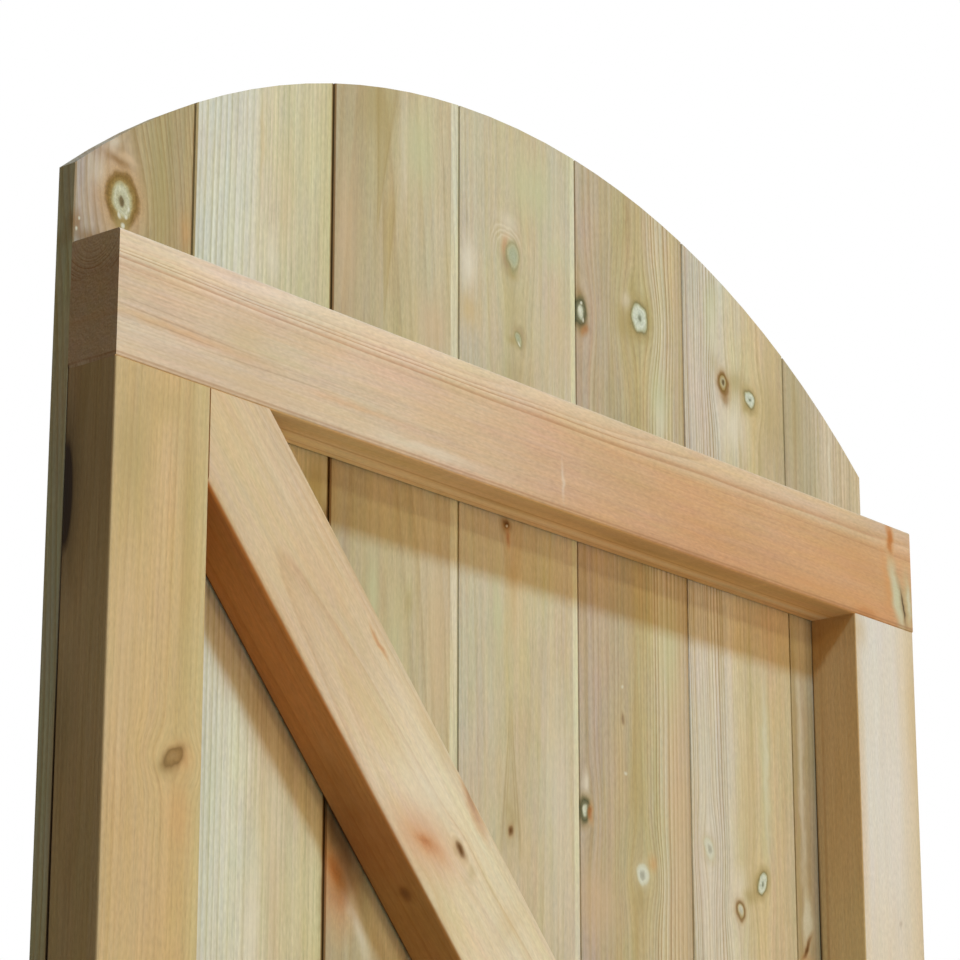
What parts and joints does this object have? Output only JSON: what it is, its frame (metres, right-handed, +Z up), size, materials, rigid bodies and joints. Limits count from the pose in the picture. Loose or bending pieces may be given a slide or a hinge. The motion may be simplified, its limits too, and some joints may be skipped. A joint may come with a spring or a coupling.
{
  "type": "arch top garden gate",
  "caption": "Boarded garden gate leaf with an arched head, framed and braced on one side in planed treated softwood, without hinges or latch.",
  "frame": {"origin": "on the outer edge of the hanging stile, at half the frame's height and half the frame's depth", "axes": "+Z up, -Y towards the framed side, +Y towards the boarded side, +X out of the hanging edge, so the leaf reaches along -X"},
  "size_m": [0.762, 0.048, 1.75],
  "materials": {
    "frame_timber": "planed, pressure treated, satin",
    "boards": "planed, pressure treated, satin"
  },
  "bodies": {
    "root": {"top_rail": "frame_timber", "middle_rail": "frame_timber", "bottom_rail": "frame_timber", "latch_stile": "frame_timber", "hanging_stile": "frame_timber", "upper_brace": "frame_timber", "lower_brace": "frame_timber", "board_1": "boards", "board_2": "boards", "board_3": "boards", "board_4": "boards", "board_5": "boards", "board_6": "boards", "board_7": "boards"}
  },
  "joints": []
}
